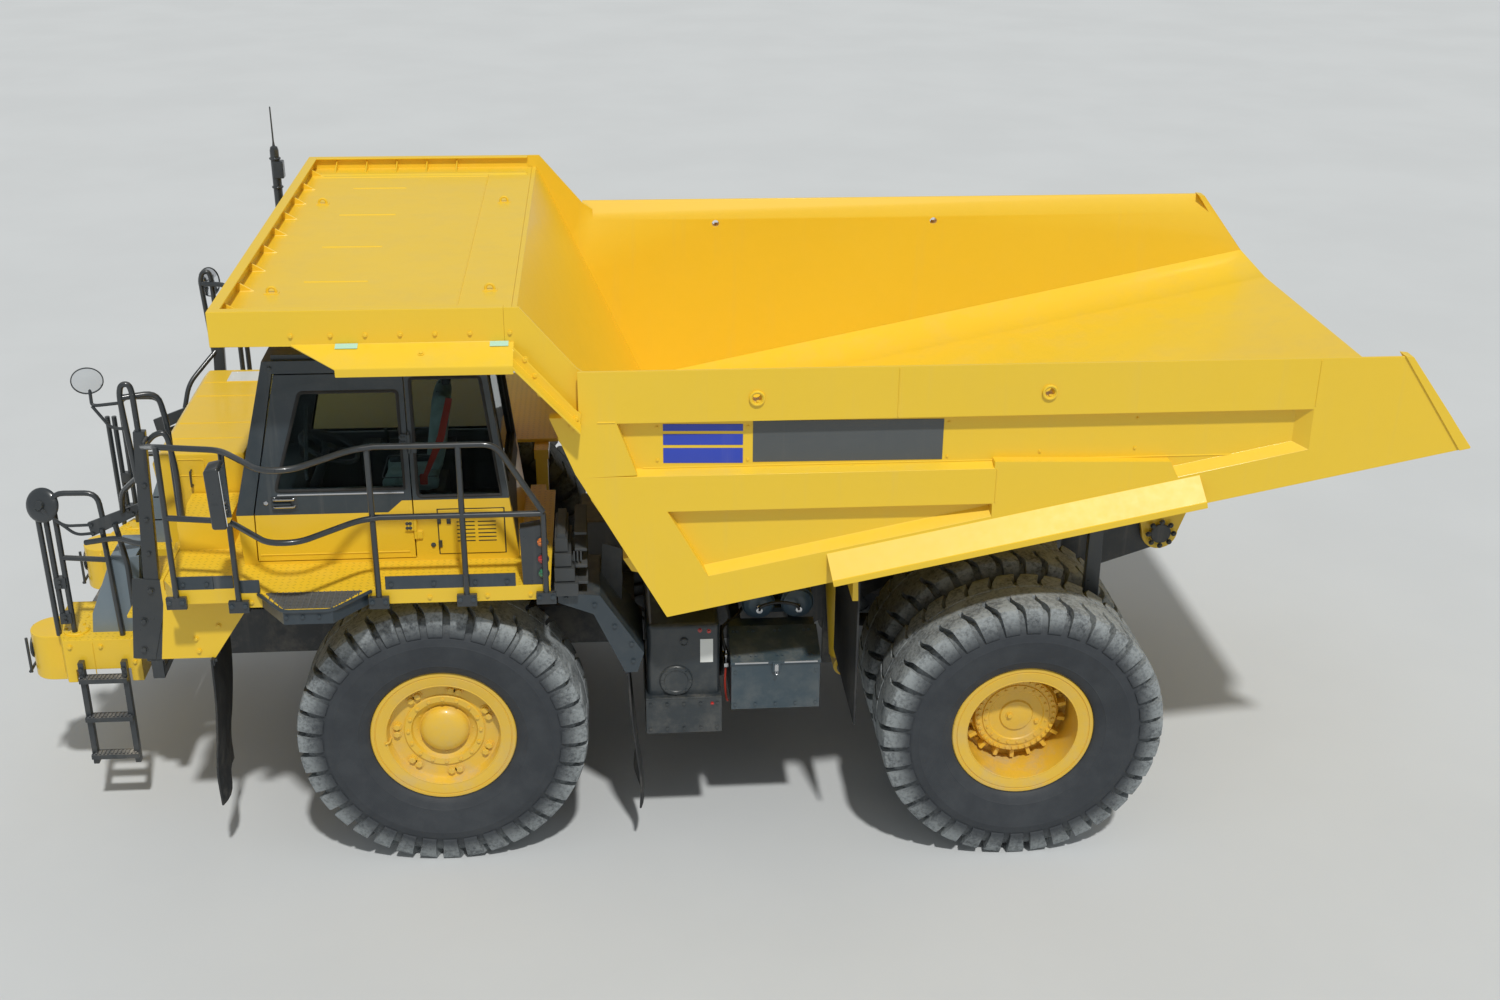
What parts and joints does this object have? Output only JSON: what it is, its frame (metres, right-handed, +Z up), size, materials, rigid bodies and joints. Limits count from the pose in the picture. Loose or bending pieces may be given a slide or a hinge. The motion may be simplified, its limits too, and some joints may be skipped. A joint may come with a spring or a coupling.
{
  "type": "rigid mining dump truck",
  "caption": "Rigid haul truck with a sloped dump body and canopy, side cab, steered front wheels, twin rear wheels and telescopic hoists.",
  "frame": {"origin": "on the ground, under the middle of the truck's overall box", "axes": "+X forward, +Y to the driver's left, +Z up"},
  "size_m": [10.575, 5.2245, 4.9],
  "materials": {
    "body_yellow": "satin paint, dusty and scuffed",
    "bed_yellow": "satin paint, sun-faded and scuffed by rock",
    "charcoal_paint": "satin dark grey paint with pale dust",
    "frame_paint": "satin dark grey paint, dusty below",
    "rail_black": "gloss black paint",
    "ram_steel": "ground steel",
    "worn_steel": "cast steel, dusty",
    "air_blue": "blue-grey paint",
    "tyre_rubber": "dusty black rubber",
    "flap_rubber": "dull black rubber",
    "trim_plastic": "moulded dark plastic",
    "seat_fabric": "grey woven seat cloth",
    "cab_glass": "lightly tinted glass",
    "lamp_glass": "clear lamp lenses in dark housings"
  },
  "bodies": {
    "chassis": {"frame_rails": "frame_paint", "rear_axle": "frame_paint", "front_struts": "frame_paint", "power_train": "worn_steel", "hood": "body_yellow", "radiator": "rail_black", "front_bumper": "body_yellow", "front_ladders": "charcoal_paint", "deck_left": "body_yellow", "deck_right": "body_yellow", "cab_shell": "charcoal_paint", "cab_glass": "cab_glass", "cab_interior": "trim_plastic", "seat_cushions": "seat_fabric", "deck_handrails": "rail_black", "mirrors": "trim_plastic", "mud_flaps": "flap_rubber", "duct_stack": "trim_plastic", "hydraulic_tank": "charcoal_paint", "fuel_tank": "charcoal_paint", "battery_box": "charcoal_paint", "air_cylinders": "air_blue", "lamps": "lamp_glass"},
    "cab_door": {"cab_door": "charcoal_paint", "door_glass": "cab_glass"},
    "battery_lid": {"battery_lid": "charcoal_paint"},
    "knuckle_left": {"knuckle_left": "worn_steel"},
    "knuckle_right": {"knuckle_right": "worn_steel"},
    "tie_rod": {"tie_rod": "worn_steel"},
    "front_wheel_left": {"tyre_front_left": "tyre_rubber", "rim_front_left": "body_yellow"},
    "front_wheel_right": {"tyre_front_right": "tyre_rubber", "rim_front_right": "body_yellow"},
    "rear_wheels_left": {"tyres_rear_left": "tyre_rubber", "rims_rear_left": "body_yellow"},
    "rear_wheels_right": {"tyres_rear_right": "tyre_rubber", "rims_rear_right": "body_yellow"},
    "bed": {"bed_floor": "bed_yellow", "bed_front_wall": "bed_yellow", "bed_side_left": "bed_yellow", "bed_side_right": "bed_yellow", "bed_canopy": "bed_yellow", "bed_flaps": "flap_rubber"},
    "hoist_barrel_left": {"hoist_barrel_left": "body_yellow"},
    "hoist_barrel_right": {"hoist_barrel_right": "body_yellow"},
    "hoist_tube_left": {"hoist_tube_left": "ram_steel"},
    "hoist_tube_right": {"hoist_tube_right": "ram_steel"},
    "hoist_rod_left": {"hoist_rod_left": "ram_steel"},
    "hoist_rod_right": {"hoist_rod_right": "ram_steel"},
    "rock_ejector_left": {"rock_ejector_left": "body_yellow"},
    "rock_ejector_right": {"rock_ejector_right": "body_yellow"}
  },
  "joints": [
    {"name": "bed_hoist", "type": "hinge", "parent": "chassis", "child": "bed", "pos_m": [-3.722, 0, 1.9], "axis": [0, -1, 0], "range_deg": [0, 48]},
    {"name": "cab_door_hinge", "type": "hinge", "parent": "chassis", "child": "cab_door", "pos_m": [2.146, 1.764, 3], "axis": [0, 0, 1], "range_deg": [0, 45]},
    {"name": "battery_lid_hinge", "type": "hinge", "parent": "chassis", "child": "battery_lid", "pos_m": [-0.472, 1.548, 1.666], "axis": [1, 0, 0], "range_deg": [0, 80]},
    {"name": "steering_left", "type": "hinge", "parent": "chassis", "child": "knuckle_left", "pos_m": [2.028, 1.23, 1], "axis": [0, 0, 1], "range_deg": [-33, 33]},
    {"name": "steering_right", "type": "hinge", "parent": "chassis", "child": "knuckle_right", "pos_m": [2.028, -1.23, 1], "axis": [0, 0, 1], "range_deg": [-33, 33]},
    {"name": "tie_rod_pivot", "type": "hinge", "parent": "knuckle_left", "child": "tie_rod", "pos_m": [1.608, 1.23, 0.755], "axis": [0, 0, 1], "range_deg": [-33, 33]},
    {"name": "front_wheel_spin_left", "type": "hinge", "parent": "knuckle_left", "child": "front_wheel_left", "pos_m": [2.028, 1.745, 1.065], "axis": [0, 1, 0], "continuous": true},
    {"name": "front_wheel_spin_right", "type": "hinge", "parent": "knuckle_right", "child": "front_wheel_right", "pos_m": [2.028, -1.745, 1.065], "axis": [0, 1, 0], "continuous": true},
    {"name": "rear_wheels_spin_left", "type": "hinge", "parent": "chassis", "child": "rear_wheels_left", "pos_m": [-2.272, 1.57, 1.065], "axis": [0, 1, 0], "continuous": true},
    {"name": "rear_wheels_spin_right", "type": "hinge", "parent": "chassis", "child": "rear_wheels_right", "pos_m": [-2.272, -1.57, 1.065], "axis": [0, 1, 0], "continuous": true},
    {"name": "hoist_swing_left", "type": "hinge", "parent": "chassis", "child": "hoist_barrel_left", "pos_m": [-1.122, 0.66, 0.85], "axis": [0, -1, 0], "range_deg": [0, 23]},
    {"name": "hoist_stage_left", "type": "slide", "parent": "hoist_barrel_left", "child": "hoist_tube_left", "axis": [0.0688, 0, 0.9976], "range_m": [0, 1.0414]},
    {"name": "hoist_rod_slide_left", "type": "slide", "parent": "hoist_tube_left", "child": "hoist_rod_left", "axis": [0.0688, 0, 0.9976], "range_m": [0, 1.0414]},
    {"name": "rock_ejector_swing_left", "type": "hinge", "parent": "bed", "child": "rock_ejector_left", "pos_m": [-2.872, 1.57, 2.63], "axis": [0, 1, 0], "range_deg": [-22, 22]},
    {"name": "hoist_swing_right", "type": "hinge", "parent": "chassis", "child": "hoist_barrel_right", "pos_m": [-1.122, -0.66, 0.85], "axis": [0, -1, 0], "range_deg": [0, 23]},
    {"name": "hoist_stage_right", "type": "slide", "parent": "hoist_barrel_right", "child": "hoist_tube_right", "axis": [0.0688, 0, 0.9976], "range_m": [0, 1.0414]},
    {"name": "hoist_rod_slide_right", "type": "slide", "parent": "hoist_tube_right", "child": "hoist_rod_right", "axis": [0.0688, 0, 0.9976], "range_m": [0, 1.0414]},
    {"name": "rock_ejector_swing_right", "type": "hinge", "parent": "bed", "child": "rock_ejector_right", "pos_m": [-2.872, -1.57, 2.63], "axis": [0, 1, 0], "range_deg": [-22, 22]}
  ],
  "couplings": [
    {"joint": "steering_right", "follows": "steering_left", "ratio": 1},
    {"joint": "tie_rod_pivot", "follows": "steering_left", "ratio": -1},
    {"joint": "hoist_swing_left", "follows": "bed_hoist", "ratio": 0.455},
    {"joint": "hoist_stage_left", "follows": "bed_hoist", "m_per_rad": 1.2425},
    {"joint": "hoist_rod_slide_left", "follows": "bed_hoist", "m_per_rad": 1.2425},
    {"joint": "hoist_swing_right", "follows": "bed_hoist", "ratio": 0.455},
    {"joint": "hoist_stage_right", "follows": "bed_hoist", "m_per_rad": 1.2425},
    {"joint": "hoist_rod_slide_right", "follows": "bed_hoist", "m_per_rad": 1.2425}
  ]
}
